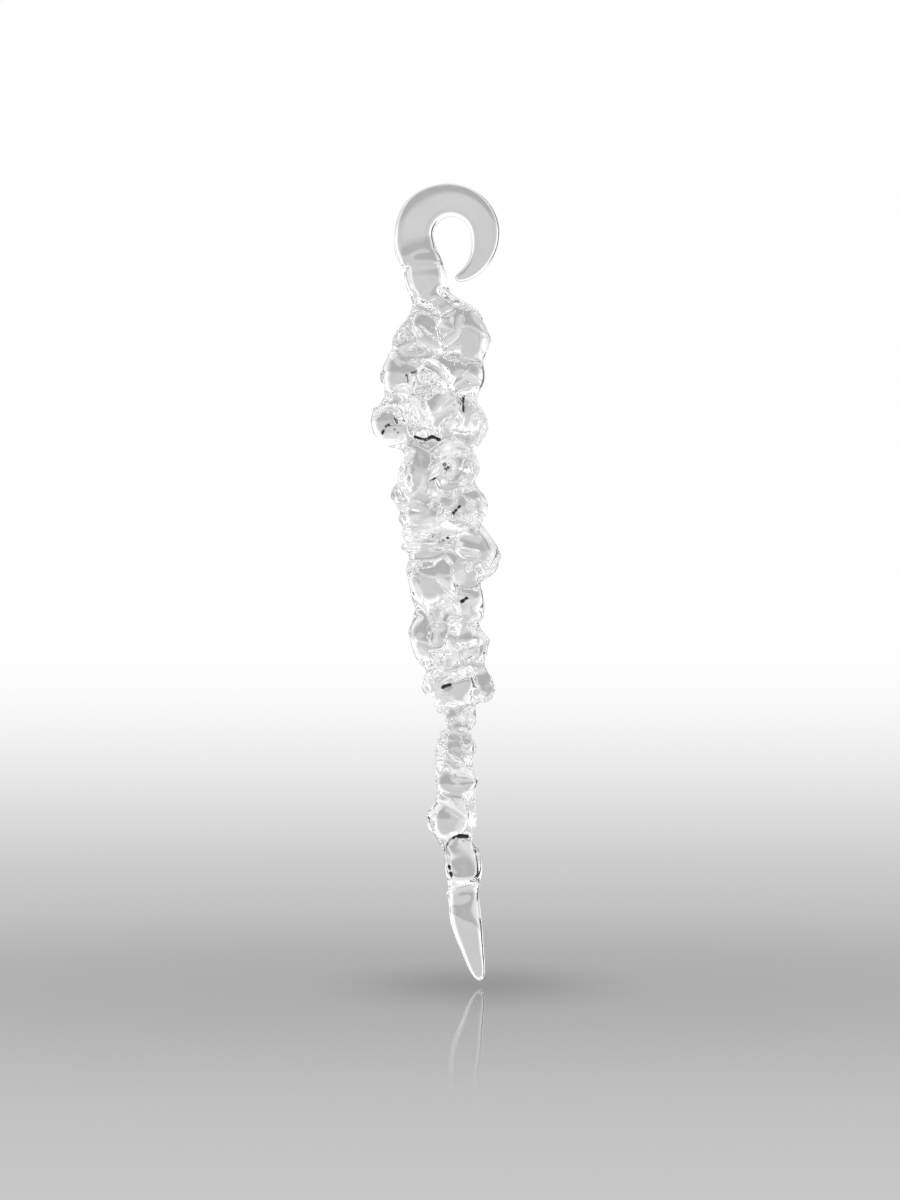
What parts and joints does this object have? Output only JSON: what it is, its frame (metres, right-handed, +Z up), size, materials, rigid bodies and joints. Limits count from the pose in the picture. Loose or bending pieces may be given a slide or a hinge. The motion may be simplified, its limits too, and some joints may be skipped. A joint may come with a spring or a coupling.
{
  "type": "glass icicle hanging ornament",
  "caption": "Solid clear glass icicle with a lumpy twisted body, a smooth drawn tip and a hook bent from the same glass, hung from a twig or wire.",
  "frame": {"origin": "the point on the inside of the hook where a twig or wire bears", "axes": "+Z up along the icicle's length, +X to its right seen from the front, +Y away from the front"},
  "size_m": [0.0231, 0.0132, 0.1398],
  "materials": {
    "clear_glass": "polished"
  },
  "bodies": {
    "root": {"arc_cane": "clear_glass", "bulge_cane": "clear_glass", "bulge_gather": "clear_glass", "coil_cane": "clear_glass", "core_rod": "clear_glass", "drawn_tip": "clear_glass", "fold_cane": "clear_glass", "great_knot": "clear_glass", "hook": "clear_glass", "knot_cane": "clear_glass", "last_gather": "clear_glass", "left_bead": "clear_glass", "left_coil": "clear_glass", "left_flap": "clear_glass", "left_lobe": "clear_glass", "left_shoulder": "clear_glass", "lower_bead": "clear_glass", "lower_front_knot": "clear_glass", "lower_knot": "clear_glass", "middle_knot": "clear_glass", "neck_collar": "clear_glass", "right_coil": "clear_glass", "right_flap": "clear_glass", "right_heel": "clear_glass", "right_lobe": "clear_glass", "right_roll": "clear_glass", "right_shoulder": "clear_glass", "right_spur": "clear_glass", "right_waist": "clear_glass", "ring_cane": "clear_glass", "ring_gather": "clear_glass", "shoulder_gather": "clear_glass", "side_spur": "clear_glass", "throat_gather": "clear_glass", "tongue_roll": "clear_glass", "under_gather": "clear_glass", "upper_front_knot": "clear_glass", "upper_left_knot": "clear_glass", "upper_right_knot": "clear_glass", "waist_cane": "clear_glass", "waist_gather": "clear_glass", "wrap_cane": "clear_glass", "wrist_gather": "clear_glass"}
  },
  "joints": []
}
